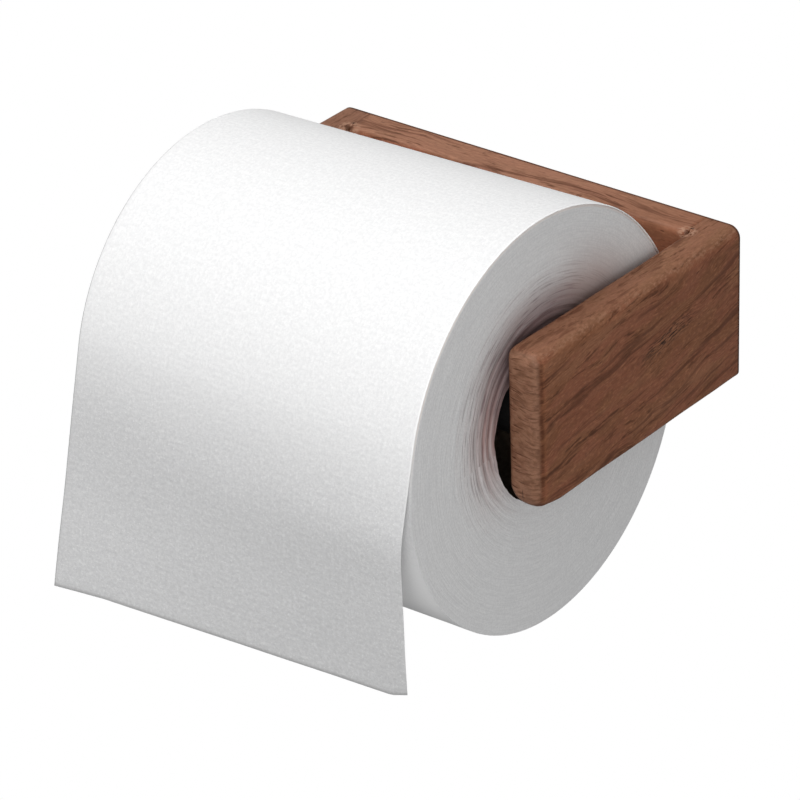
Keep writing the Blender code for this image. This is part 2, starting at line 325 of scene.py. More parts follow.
class Look:
    """One material and short ways to add nodes to it."""

    def __init__(self, name):
        self.material = bpy.data.materials.new(name)
        self.material.use_nodes = True
        self.tree = self.material.node_tree
        self.shader = self.tree.nodes["Principled BSDF"]
        self.colour = (0, 0, 0, 1)

    def join(self, value, socket):
        if isinstance(value, bpy.types.NodeSocket):
            self.tree.links.new(value, socket)
        else:
            socket.default_value = value

    def add(self, kind, settings=None, **inputs):
        """Adds a node. Inputs are given by name, with _ for a space."""
        node = self.tree.nodes.new("ShaderNode" + kind)
        for key, value in (settings or {}).items():
            setattr(node, key, value)
        for key, value in inputs.items():
            self.join(value, node.inputs[key.replace("_", " ")])
        return node

    def math(self, operation, *values):
        node = self.tree.nodes.new("ShaderNodeMath")
        node.operation = operation
        for value, socket in zip(values, node.inputs):
            self.join(value, socket)
        return node.outputs[0]

    def times(self, first, second):
        return self.math("MULTIPLY", first, second)

    def plus(self, first, second):
        return self.math("ADD", first, second)

    def minus(self, first, second):
        return self.math("SUBTRACT", first, second)

    def distance(self, first, second):
        """Length of the flat vector (first, second)."""
        return self.math("SQRT", self.plus(self.times(first, first), self.times(second, second)))

    def vector(self, x, y, z=0.0):
        return self.add("CombineXYZ", X=x, Y=y, Z=z).outputs[0]

    def split(self, vector):
        return self.add("SeparateXYZ", Vector=vector).outputs

    def vector_math(self, operation, *values):
        node = self.add("VectorMath", {"operation": operation})
        for value, socket in zip(values, node.inputs):
            self.join(value, socket)
        return node.outputs

    def position(self):
        """Object coordinates, in metres."""
        return self.add("TexCoord").outputs["Object"]

    def stretched(self, vector, scale, shift=(0, 0, 0)):
        return self.add("Mapping", Vector=vector, Scale=scale, Location=shift).outputs["Vector"]

    def noise(self, vector, scale, detail=2.0, rough=0.5, shift=(0, 0, 0)):
        """Noise from 0 to 1 with its own scale along each axis, in cycles per metre."""
        node = self.add(
            "TexNoise",
            Vector=self.stretched(vector, scale, shift),
            Scale=1.0,
            Detail=detail,
            Roughness=rough,
            Distortion=0.0,
        )
        return node.outputs["Fac"]

    def ramp(self, value, stops):
        node = self.add("ValToRGB", Fac=value)
        band = node.color_ramp
        band.elements[0].position, band.elements[1].position = stops[0][0], stops[-1][0]
        for place, _ in stops[1:-1]:
            band.elements.new(place)
        for element, (_, colour) in zip(band.elements, stops):
            element.color = (*colour, 1)
        return node.outputs["Color"]

    def between(self, value, low, high, out_low=0.0, out_high=1.0):
        """Maps low..high to out_low..out_high, with soft ends."""
        node = self.tree.nodes.new("ShaderNodeMapRange")
        node.interpolation_type = "SMOOTHSTEP"
        for item, socket in zip((value, low, high, out_low, out_high), node.inputs):
            self.join(item, socket)
        return node.outputs[0]

    def mix(self, share, first, second):
        node = self.tree.nodes.new("ShaderNodeMix")
        node.data_type = "RGBA"
        self.join(share, node.inputs["Factor"])
        for value, name in ((first, "A_Color"), (second, "B_Color")):
            socket = next(s for s in node.inputs if s.identifier == name)
            self.join(value if isinstance(value, bpy.types.NodeSocket) else (*value, 1), socket)
        return next(s for s in node.outputs if s.identifier == "Result_Color")

    def attribute(self, name):
        return self.add("Attribute", {"attribute_name": name}).outputs["Fac"]

    def bump(self, height, depth, normal=None):
        """Bump with its depth in metres, for a height from 0 to 1."""
        node = self.add("Bump", Strength=1.0, Distance=depth, Height=height)
        if normal is not None:
            self.join(normal, node.inputs["Normal"])
        return node.outputs["Normal"]

    def paint(self, share, tone, most=None):
        """Mixes a tone over the colour so far, by a share or by most of it."""
        if most is not None:
            share = self.times(share, most)
        self.colour = self.mix(share, self.colour, tone)

    def finish(self, roughness, normal=None, **constants):
        self.join(self.colour, self.shader.inputs["Base Color"])
        self.join(roughness, self.shader.inputs["Roughness"])
        if normal is not None:
            self.join(normal, self.shader.inputs["Normal"])
        for key, value in constants.items():
            self.shader.inputs[key.replace("_", " ")].default_value = value
        return self.material


def wood(name, order, tones, seed, slope, top, top_sheen_share, knot=None):
    """Oiled open-pored wood. Order gives the object axes that run along the grain, across the
    growth rings and along the rings. Slope is the grain's rise along the board. Top is the painted
    highlight and sheen tone of the upper faces, and top_sheen_share its share. Knot is a place
    (along, across) with dense dark pores."""
    look = Look(name)
    parts = look.split(look.position())
    along, across, level = (parts[axis] for axis in order)
    grain = look.vector(along, across, level)
    wander = look.noise(grain, (30, 55, 50), detail=2, shift=(seed, 0, 0))
    drift = look.times(look.minus(wander, 0.5), 8.5 * MM)
    ring = look.plus(look.minus(across, look.times(along, slope)), drift)
    bent = look.vector(along, ring, level)

    patches = look.noise(bent, (26, 170, 120), detail=3, shift=(seed, 3, 0))
    clusters = look.noise(bent, (38, 190, 130), detail=2, shift=(0, 0, seed))
    streaks = look.noise(bent, (125, 900, 1000), detail=3, rough=0.66, shift=(0, seed, 0))
    veins = look.noise(bent, (24, 400, 320), detail=4, rough=0.68, shift=(seed, 0, 4))
    fibre = look.noise(bent, (360, 2300, 1800), detail=2, rough=0.7)
    mottle = look.noise(bent, (800, 1500, 1500), detail=2, rough=0.6, shift=(seed, 9, 4))
    pore_field = look.noise(bent, (300, 1900, 1300), detail=1, rough=0.4, shift=(seed, seed, 0))

    dark, mid, light, warm = tones
    deep = (0.34 * dark[0], 0.27 * dark[1], 0.22 * dark[2])
    vein_tone = (0.42 * dark[0], 0.30 * dark[1], 0.24 * dark[2])
    look.colour = look.ramp(patches, [(0.32, dark), (0.50, mid), (0.68, light)])
    hue = look.noise(bent, (70, 200, 200), detail=2, shift=(5, seed, 1))
    look.paint(look.between(hue, 0.40, 0.62, 0.0, 0.8), warm)
    look.paint(look.between(mottle, 0.46, 0.72, 0.0, 0.42), toned(light, 1.5))
    # Painted highlight and sheen: the upper faces get the paler top tone, as if lit from above
    upper = look.attribute("upper")
    look.paint(look.times(upper, top_sheen_share), top)
    look.paint(look.between(along, *DARK_END, 0.0, 0.45), dark)
    look.paint(look.between(veins, 0.53, 0.65, 0.0, 0.68), vein_tone)
    spread_out = look.between(clusters, 0.36, 0.60, 0.12, 0.80)
    look.paint(look.times(look.between(streaks, 0.53, 0.66), spread_out), deep)
    look.paint(look.between(fibre, 0.3, 0.75, 0.0, 0.42), toned(mid, 0.45))

    # Wear and painted highlight: the rounded edges take the paler dry-grain tone, partly worn-off oil and
    # partly light catching the edge
    ridge = look.math("POWER", look.attribute("wear_and_highlight"), 5.0)
    wear_and_highlight = look.times(ridge, look.between(mottle, 0.46, 0.60, 0.0, 0.9))
    look.paint(wear_and_highlight, toned(DRY_GRAIN_AND_HIGHLIGHT, 1.15))
    end = look.attribute("end_grain")
    tip = look.between(end, 0.62, 0.88)
    cells = look.noise(bent, (700, 1000, 420), detail=3, rough=0.65, shift=(seed, 0, 2))
    cut_across = look.mix(look.between(cells, 0.30, 0.68), END_GRAIN, END_GRAIN_LIGHT)
    look.paint(tip, cut_across, 0.80)
    rays = look.noise(bent, (500, 1700, 190), detail=1, rough=0.6, shift=(1, seed, 2))
    aside = look.math("ABSOLUTE", parts[0])
    inner_half = look.between(aside, ARM_INNER + 2.2 * MM, ARM_INNER + 5.5 * MM, 1.0, 0.45)
    dashes = look.times(look.between(rays, 0.56, 0.63, 0.0, 1.35), look.times(tip, inner_half))
    side_edge = look.between(aside, ARM_INNER + 0.2 * MM, ARM_INNER + 0.9 * MM, 0.9, 0.0)
    steep = look.minus(1.0, upper)
    side_edge = look.times(side_edge, steep)
    dashes = look.math("MAXIMUM", dashes, look.times(tip, side_edge))
    dashes = look.times(dashes, look.between(upper, 0.0, 0.4, 1.0, 0.2))
    turn = look.times(look.between(end, 0.26, 0.64), look.between(end, 0.68, 0.96, 1.0, 0.0))
    turn = look.times(turn, steep)
    blobs = look.noise(bent, (300, 900, 300), detail=3, rough=0.65, shift=(seed, 1, 9))
    turn = look.times(turn, look.between(blobs, 0.30, 0.65, 0.35, 1.25))
    turn = look.times(turn, look.math("GREATER_THAN", aside, ARM_INNER + 5 * MM))
    if knot is not None:
        place = (knot[0], knot[1] - slope * knot[0], 0)
        off = look.vector_math("SUBTRACT", look.vector(along, ring), place)[0]
        span = look.vector_math("LENGTH", look.stretched(off, (0.23, 1.0, 1.0)))["Value"]
        packed = look.between(span, 0.6 * MM, 4.0 * MM, 1.0, 0.0)
        tight = look.noise(bent, (380, 2700, 1900), detail=2, rough=0.6, shift=(4, seed, 0))
        checks = look.times(packed, look.between(tight, 0.46, 0.60, 0.0, 0.95))
        look.paint(checks, toned(deep, 0.3))
    pores = look.times(look.between(pore_field, 0.70, 0.78), look.minus(1.0, tip))
    marks = look.math("MAXIMUM", look.math("MAXIMUM", pores, dashes), turn)
    look.paint(marks, deep, 0.72)

    # both inner top corners at once: the place's distances from the middle and the wall
    both_sides = look.vector_math("ABSOLUTE", look.position())[0]
    apart = look.vector_math("DISTANCE", both_sides, INNER_CORNER)["Value"]
    bare = look.times(look.between(apart, 2.0 * MM, 3.4 * MM, 1.0, 0.0), look.between(mottle, 0.40, 0.55))
    look.paint(bare, toned(DRY_GRAIN_AND_HIGHLIGHT, 1.3), 0.8)
    # Painted shade: a dark dot stands in for a small dimple at each inner top corner
    look.paint(look.between(apart, 0.8 * MM, 1.5 * MM, 1.0, 0.0), deep, 0.75)
    # Painted shade: faces that look downwards are darkened, as the light falls from above
    look.paint(look.attribute("lower"), deep, 0.5)
    # Painted shade: a dark line where the boards meet the wall, weaker on the faces that look at the wall
    wall_shade = look.between(parts[1], WALL_Y - WALL_EDGE_SHADE, WALL_Y - 0.5 * WALL_EDGE_SHADE, 0.0, 0.88)
    wall_shade = look.times(wall_shade, look.between(look.attribute("wall_face"), 0.0, 1.0, 1.0, 0.25))
    look.paint(wall_shade, deep)

    roughness = look.between(streaks, 0.3, 0.8, 0.50, 0.66)
    height = look.minus(look.times(fibre, 0.3), marks)
    normal = look.bump(height, 0.05 * MM)
    return look.finish(roughness, normal, Specular_IOR_Level=0.25)


def roll_coordinates(look):
    """(x, distance round the roll, radius) of a point of the roll, in metres."""
    x, y, z = look.split(look.position())
    radius = look.distance(y, z)
    turn = look.math("ARCTAN2", z, y)
    arc = look.times(turn, ROLL_RADIUS)
    return x, arc, radius


def crepe(look, flat):
    """Embossed grid, fine creping and sparse fibre specks over flat coordinates in metres."""
    across, along, _ = look.split(flat)
    waves = [
        look.math("COSINE", look.times(place, math.tau / EMBOSS_PITCH)) for place in (across, along)
    ]
    grid = look.times(look.plus(*waves), 0.25)
    uneven = look.between(look.noise(flat, (160, 160, 1), detail=1, shift=(5, 2, 0)), 0.3, 0.6, 0.35, 1.0)
    grid = look.times(grid, uneven)
    fine = look.noise(flat, (1250, 1150, 1), detail=2, rough=0.75)
    coarse = look.noise(flat, (560, 560, 1), detail=2, rough=0.6, shift=(3, 1, 0))
    specks = look.noise(flat, (1900, 1900, 1), detail=0, shift=(7, 7, 0))
    return grid, fine, coarse, specks


def tissue(look, flat, contrast):
    """Paints tissue and gives its normal. Contrast is the share of its fine light and dark mottling."""
    grid, fine, coarse, specks = crepe(look, flat)

    def share(value, low, high, most):
        return look.times(look.between(value, low, high, 0.0, most), contrast)

    look.colour = look.mix(share(fine, 0.30, 0.70, 1.0), PAPER_WHITE, PAPER_SHADE)
    look.paint(share(coarse, 0.3, 0.7, 0.45), PAPER_SHADE)
    look.paint(share(grid, 0.5, -0.5, 0.24), (0.76, 0.76, 0.765))
    look.paint(share(specks, 0.68, 0.76, 0.9), (0.985, 0.985, 0.985))
    # Painted shade: a thin dark line along the left rim of the roll and sheet
    across = look.split(flat)[0]
    rim = look.between(look.math("ABSOLUTE", across), ROLL_HALF - EDGE_SHADE_LINE, ROLL_HALF - 0.4 * EDGE_SHADE_LINE)
    left = look.math("LESS_THAN", across, 0.0)
    look.paint(look.times(rim, left), PAPER_EDGE_SHADE)
    normal = look.bump(grid, 0.02 * MM)
    normal = look.bump(fine, 0.03 * MM, normal)
    normal = look.bump(coarse, 0.05 * MM, normal)
    return normal


def roll_tissue():
    look = Look("roll_tissue")
    normal = tissue(look, roll_flat(look), 0.6)
    _, _, z = look.split(look.position())
    # Painted light: the lower front half of the roll is lifted towards white
    below = look.between(z, -0.5 * ROLL_RADIUS, 0.0, 1.0, 0.0)
    look.paint(below, (0.99, 0.99, 0.99))
    # Painted shade: a darker band round the underside of the roll
    underside_shade = look.between(z, -0.85 * ROLL_RADIUS, -0.5 * ROLL_RADIUS, 0.7, 0.0)
    look.paint(underside_shade, (0.55, 0.55, 0.555))
    return look.finish(0.95, normal, Specular_IOR_Level=0.15, Sheen_Weight=0.05)


def sheet_tissue():
    """As the roll's tissue where it lies on the roll. A free ply lets some light through."""
    look = Look("sheet_tissue")
    free = look.attribute("free")
    flat = sheet_flat(look)
    normal = tissue(look, flat, look.between(free, 0.0, 1.0, 0.55, 1.0))
    pebbles = look.noise(flat, (700, 860, 1), detail=2, rough=0.6, shift=(2, 8, 0))
    raised = look.times(free, look.between(pebbles, 0.58, 0.74, 0.0, 0.60))
    look.paint(raised, (0.99, 0.99, 0.99))
    dents = look.times(free, look.between(pebbles, 0.28, 0.44, 0.38, 0.0))
    look.paint(dents, (0.66, 0.66, 0.66))
    normal = look.bump(look.times(free, pebbles), 0.05 * MM, normal)
    across = look.split(flat)[0]
    lit_edge = look.between(across, ROLL_HALF - 1.3 * SHEET_BEVEL, ROLL_HALF - 0.6 * SHEET_BEVEL)
    lit_edge = look.times(lit_edge, look.minus(1.0, free))
    look.paint(lit_edge, (0.985, 0.985, 0.985))
    # Painted shade: a darker line along the torn bottom edge of the sheet
    look.paint(look.attribute("cut_edge"), PAPER_EDGE_SHADE)
    material = look.finish(0.95, normal, Specular_IOR_Level=0.15, Sheen_Weight=0.05)
    through = look.add("BsdfTranslucent", Color=(*THROUGH_PLY, 1), Normal=normal)
    output = look.tree.nodes["Material Output"]
    both = look.add("MixShader")
    look.join(look.times(free, PLY_LETS_THROUGH), both.inputs[0])
    look.join(look.shader.outputs[0], both.inputs[1])
    look.join(through.outputs[0], both.inputs[2])
    look.join(both.outputs[0], output.inputs["Surface"])
    return material


def sheet_flat(look):
    return look.add("UVMap", {"uv_map": "flat"}).outputs["UV"]


def roll_flat(look):
    x, arc, _ = roll_coordinates(look)
    return look.vector(x, arc)


def ply_edges(name):
    """The roll's end faces: hundreds of ply edges, with loose rings near the core under a painted shade and
    reflection of the wood.
    """
    look = Look(name)
    x, arc, radius = roll_coordinates(look)
    _, y, z = look.split(look.position())
    ring_y = look.minus(y, RING_CENTRE[0])
    ring_z = look.minus(z, RING_CENTRE[1])
    wobble = look.noise(look.position(), (60, 60, 60), detail=1)
    ring = look.distance(ring_y, ring_z)
    ring = look.plus(ring, look.times(look.minus(wobble, 0.5), 1.4 * MM))
    spun = look.vector(radius, arc, x)
    ringed = look.vector(ring, arc, x)
    plies = look.noise(spun, (3200, 90, 1), detail=2, rough=0.6)
    lines = look.noise(ringed, (2100, 55, 1), detail=2, rough=0.6, shift=(3, 0, 0))
    groups = look.noise(ringed, (800, 20, 1), detail=1, shift=(7, 0, 0))
    fluff = look.noise(look.position(), (1700, 1700, 1700), detail=2, rough=0.6)
    high = look.math("DIVIDE", z, radius)
    upper = look.between(high, -0.92, 0.42)

    look.colour = look.mix(look.between(plies, 0.35, 0.7, 0.0, 0.55), PAPER_WHITE, (0.78, 0.78, 0.785))
    look.paint(look.between(fluff, 0.3, 0.7, 0.0, 0.5), PAPER_SHADE)
    # Painted shade and reflection: the loose rings on the upper side get a reddish-brown tint, stronger
    # nearer the core
    stops = [(0.0, (1, 1, 1))]
    for edge, before, after in RING_STEPS:
        for shift, level in ((-RING_BLUR, before), (RING_BLUR, after)):
            stops.append(((edge + shift) / ROLL_RADIUS, (level, level, level)))
    stops.append((1.0, (0, 0, 0)))
    ring_shade = look.times(look.ramp(look.math("DIVIDE", ring, ROLL_RADIUS), stops), upper)
    ring_shade = look.times(ring_shade, look.between(groups, 0.35, 0.65, 0.80, 1.15))
    look.paint(look.math("MINIMUM", ring_shade, 1.0), RING_SHADE_AND_REFLECTION)
    # Painted shade: dark lines between the loose rings on the upper side, where each ring shades the next
    loose = look.between(ring, PAPER_INSIDE + 6 * MM, PAPER_INSIDE + 19 * MM, 1.0, 0.0)
    dark_lines = look.times(look.between(lines, 0.52, 0.66), look.times(loose, upper))
    look.paint(dark_lines, (0.20, 0.14, 0.15), 0.70)
    # Painted shade: the upper part of the end face round the core is darkened
    top = look.times(look.between(high, 0.20, 0.90), look.between(ring, 24 * MM, 37 * MM, 1.0, 0.0))
    look.paint(top, (0.21, 0.15, 0.155), 0.62)
    # Painted shade and reflection: the upper rear of the end face, next to the arm, gets a darker
    # wood-coloured tint
    back = look.times(look.between(look.math("DIVIDE", y, radius), 0.0, 0.7), look.between(high, 0.1, 0.7))
    back = look.times(back, look.between(radius, 33 * MM, 50 * MM, 1.0, 0.0))
    look.paint(back, (0.50, 0.37, 0.34), 0.75)
    # Painted highlight: a pale line along the upper outer rim, where it catches the light
    rim = look.between(radius, ROLL_RADIUS - 1.3 * RIM_ROUND, ROLL_RADIUS - 0.8 * RIM_ROUND)
    rim = look.times(rim, look.between(high, 0.0, 0.5))
    look.paint(rim, (1.0, 0.94, 0.91))
    normal = look.bump(plies, 0.07 * MM)
    normal = look.bump(fluff, 0.06 * MM, normal)
    return look.finish(0.97, normal, Specular_IOR_Level=0.1)


def cardboard():
    look = Look("kraft_core")
    x, arc, _ = roll_coordinates(look)
    flat = look.vector(x, arc)
    fibres = look.noise(flat, (900, 260, 1), detail=4, rough=0.65)
    specks = look.noise(flat, (1600, 1600, 1), detail=1)
    wound = look.plus(look.times(x, 1 / CORE_STRIP), look.times(arc, 1 / (math.tau * ROLL_RADIUS)))
    off_seam = look.math("ABSOLUTE", look.minus(look.math("FRACT", wound), 0.5))
    seam = look.between(off_seam, 0.0, 0.012, 1.0, 0.0)
    look.colour = look.ramp(fibres, [(0.3, (0.115, 0.085, 0.062)), (0.7, (0.175, 0.135, 0.10))])
    look.paint(look.between(specks, 0.66, 0.72, 0.0, 0.5), (0.06, 0.045, 0.032))
    look.paint(seam, (0.05, 0.036, 0.026), 0.6)
    normal = look.bump(look.minus(fibres, seam), 0.06 * MM)
    return look.finish(0.9, normal, Specular_IOR_Level=0.2)


def dowel_wood():
    look = Look("pale_dowel")
    fibres = look.noise(look.position(), (160, 2200, 2200), detail=3, rough=0.6)
    look.colour = look.ramp(fibres, [(0.3, (0.46, 0.31, 0.175)), (0.7, (0.62, 0.45, 0.28))])
    return look.finish(0.6, look.bump(fibres, 0.03 * MM), Specular_IOR_Level=0.3)


def zinc():
    look = Look("zinc_plate")
    clouds = look.noise(look.position(), (420, 420, 420), detail=3)
    scratches = look.noise(look.position(), (2600, 300, 2600), detail=2, rough=0.7)
    look.colour = look.ramp(clouds, [(0.3, (0.55, 0.545, 0.52)), (0.7, (0.72, 0.71, 0.68))])
    roughness = look.between(scratches, 0.3, 0.75, 0.26, 0.46)
    return look.finish(roughness, look.bump(scratches, 0.008 * MM), Metallic=1.0)


def moulded_plastic():
    look = Look("moulded_plastic")
    texture = look.noise(look.position(), (900, 900, 900), detail=2)
    flow = look.noise(look.position(), (35, 160, 160), detail=2)
    look.colour = look.ramp(flow, [(0.3, (0.011, 0.011, 0.011)), (0.7, (0.017, 0.017, 0.017))])
    roughness = look.between(texture, 0.3, 0.7, 0.30, 0.42)
    return look.finish(roughness, look.bump(texture, 0.01 * MM), Specular_IOR_Level=0.35)


def drawn_wire():
    look = Look("drawn_wire")
    drawn = look.noise(look.position(), (1800, 1800, 1800), detail=3, rough=0.7)
    look.colour = look.ramp(drawn, [(0.3, (0.40, 0.40, 0.41)), (0.7, (0.58, 0.58, 0.58))])
    return look.finish(look.between(drawn, 0.3, 0.7, 0.22, 0.40), Metallic=1.0)


# ---------------------------------------------------------------- mesh helpers


def mesh_object(name, points, faces, materials, matrix=None):
    mesh = bpy.data.meshes.new(name)
    mesh.from_pydata([tuple(p) for p in points], [], faces)
    mesh.shade_smooth()
    for material in materials:
        mesh.materials.append(material)
    made = bpy.data.objects.new(name, mesh)
    if matrix is not None:
        made.matrix_world = matrix
    bpy.context.scene.collection.objects.link(made)
    return made


def lattice_faces(rows, columns, wrap_rows=False, wrap_columns=True, first=0):
    faces = []
    for row in range(rows if wrap_rows else rows - 1):
        above, below = first + row * columns, first + (row + 1) % rows * columns
        for column in range(columns if wrap_columns else columns - 1):
            after = (column + 1) % columns
            faces.append((above + column, above + after, below + after, below + column))
    return faces


def outwards(obj, weld=True):
    """Turns every face of a closed mesh outwards, and welds the points that coincide."""
    bm = bmesh.new()
    bm.from_mesh(obj.data)
    if weld:
        bmesh.ops.remove_doubles(bm, verts=bm.verts, dist=WELD)
    bmesh.ops.recalc_face_normals(bm, faces=bm.faces)
    bm.to_mesh(obj.data)
    bm.free()


def point_values(made, name, values):
    """Gives each point a value that the materials read by name."""
    attribute = made.data.attributes.new(name, "FLOAT", "POINT")
    attribute.data.foreach_set("value", np.asarray(values, np.float32).ravel())


def spread(low, high, step):
    count = max(int(math.ceil(abs(high - low) / step)), 1)
    return [low + (high - low) * i / count for i in range(count + 1)]


def cut(target, points, faces):
    """Takes a closed mesh away from target for good."""
    mesh = bpy.data.meshes.new("cutter")
    mesh.from_pydata([tuple(p) for p in points], [], faces)
    cutter = bpy.data.objects.new("cutter", mesh)
    bpy.context.scene.collection.objects.link(cutter)
    outwards(cutter)
    modifier = target.modifiers.new("cut", "BOOLEAN")
    modifier.operation = "DIFFERENCE"
    modifier.solver = "EXACT"
    modifier.object = cutter
    graph = bpy.context.evaluated_depsgraph_get()
    made = bpy.data.meshes.new_from_object(target.evaluated_get(graph), depsgraph=graph)
    target.modifiers.clear()
    old, target.data = target.data, made
    made.name = old.name
    bpy.data.meshes.remove(old)
    bpy.data.objects.remove(cutter)
    bpy.data.meshes.remove(mesh)


def turned(profile, steps, axis):
    """Closed solid of revolution round axis "X" or "Y" from (place along, radius) points that
    start and end on the axis or near it."""
    points = []
    for place, radius in profile:
        for step in range(steps):
            angle = math.tau * step / steps
            side = (radius * math.cos(angle), radius * math.sin(angle))
            points.append((place, *side) if axis == "X" else (side[0], place, side[1]))
    faces = lattice_faces(len(profile), steps)
    faces.append(tuple(range(steps)))
    faces.append(tuple(range(len(points) - steps, len(points))))
    return np.array(points), faces


# ---------------------------------------------------------------- wooden frame


def section(low, high, rounds):
    """The four corner arcs of a rounded rectangle in two axes. Rounds are their radii, from
    (high, high) anticlockwise."""
    (a0, b0), (a1, b1) = low, high
    corners = ((a1, b1, 0), (a0, b1, 90), (a0, b0, 180), (a1, b0, 270))
    arcs = []
    for (a, b, start), radius in zip(corners, rounds):
        middle_a = a - radius * (1 if a == a1 else -1)
        middle_b = b - radius * (1 if b == b1 else -1)
        arc = []
        for step in range(ARC_STEPS + 1):
            angle = math.radians(start + 90 * step / ARC_STEPS)
            arc.append((middle_a + radius * math.cos(angle), middle_b + radius * math.sin(angle)))
        arcs.append(arc)
    return arcs


def section_loop(low, high, rounds, counts):
    """The whole outline, with as many points for the same counts, and each point's share of edge wear and
    painted highlight.
    """
    arcs = section(low, high, rounds)
    loop, wear_and_highlight = [], []
    for number, arc in enumerate(arcs):
        loop += arc
        wear_and_highlight += [math.sin(math.pi * (0.12 + 0.76 * i / ARC_STEPS)) for i in range(ARC_STEPS + 1)]
        start, stop = arc[-1], arcs[(number + 1) % 4][0]
        fill = counts[number % 2]
        for i in range(1, fill):
            t = i / fill
            loop.append((start[0] + (stop[0] - start[0]) * t, start[1] + (stop[1] - start[1]) * t))
            wear_and_highlight.append(0.0)
    return loop, wear_and_highlight


def quarter_inset(radius, depth):
    """How far a rounded end has drawn in, at a depth from its tip."""
    if depth >= radius:
        return 0.0
    return radius - math.sqrt(max(radius * radius - (radius - depth) ** 2, 0.0))


def capped(loops):
    """Adds shrinking rings inside the first and last loops, down to a seam, to close a loft."""

    def rings(loop):
        pts = np.array(loop)
        low, high = pts.min(0), pts.max(0)
        half = (high - low) / 2
        middle = (high + low) / 2
        thin = min(range(3), key=lambda i: half[i] if half[i] > 1e-7 else 1.0)
        reach = half[thin]
        core = pts.copy()
        for i in range(3):
            if half[i] > 1e-7:
                core[:, i] = np.clip(pts[:, i], low[i] + reach, high[i] - reach)
        core[:, thin] = middle[thin]
        return [core + (pts - core) * t for t in (0.0, 0.25, 0.5, 0.75, 0.92)]

    return rings(loops[0]) + [np.array(p) for p in loops] + rings(loops[-1])[::-1]


def sanded(points, normals, seed, hold):
    """Moves points a little along their normals, as hand sanding leaves them. Hold gives the
    share of the movement for each point."""
    moved = points.copy()
    for i, (p, n) in enumerate(zip(points, normals)):
        slow = noise_at(p, 55, seed)
        fine = noise_at(p, 160, seed + 7)
        moved[i] = p + n * SANDING * (slow + 0.35 * fine - 0.4) * hold[i]
    return moved


def board(name, loops, wear_and_highlight_rows, end_rows, seed, material, hold_of, upper_from=0.25):
    """Closes a loft of loops into one board, with the attributes that its wood reads. Faces
    count as upper from a normal with a z of upper_from."""
    rows = capped(loops)
    cap = (len(rows) - len(loops)) // 2
    columns = len(loops[0])
    wear_and_highlight_rows = [[0.0] * columns] * cap + wear_and_highlight_rows + [[0.0] * columns] * cap
    wear_and_highlight_rows[cap - 1] = wear_and_highlight_rows[cap]
    wear_and_highlight_rows[-cap] = wear_and_highlight_rows[-cap - 1]
    end_rows = [end_rows[0]] * cap + end_rows + [end_rows[-1]] * cap
    points = np.concatenate(rows)
    faces = lattice_faces(len(rows), columns)
    made = mesh_object(name, points, faces, [material])
    point_values(made, "wear_and_highlight", np.concatenate([np.array(r) for r in wear_and_highlight_rows]))
    point_values(made, "end_grain", np.repeat(np.array(end_rows, float), columns))
    outwards(made)
    normals = [v.normal.copy() for v in made.data.vertices]
    point_values(made, "upper", [smoothstep((n.z - upper_from) / (0.85 - upper_from)) for n in normals])
    point_values(made, "lower", [smoothstep((-n.z - 0.2) / 0.5) for n in normals])
    point_values(made, "wall_face", [smoothstep((n.y - 0.6) / 0.35) for n in normals])
    at = np.array([v.co for v in made.data.vertices])
    hold = [hold_of(p) for p in at]
    moved = sanded(at, np.array(normals), seed, hold)
    made.data.vertices.foreach_set("co", moved.astype(np.float32).ravel())
    made.data.update()
    return made


def counts_for(width, height):
    return [max(int(width / GRID_STEP), 1), max(int(height / GRID_STEP), 1)]


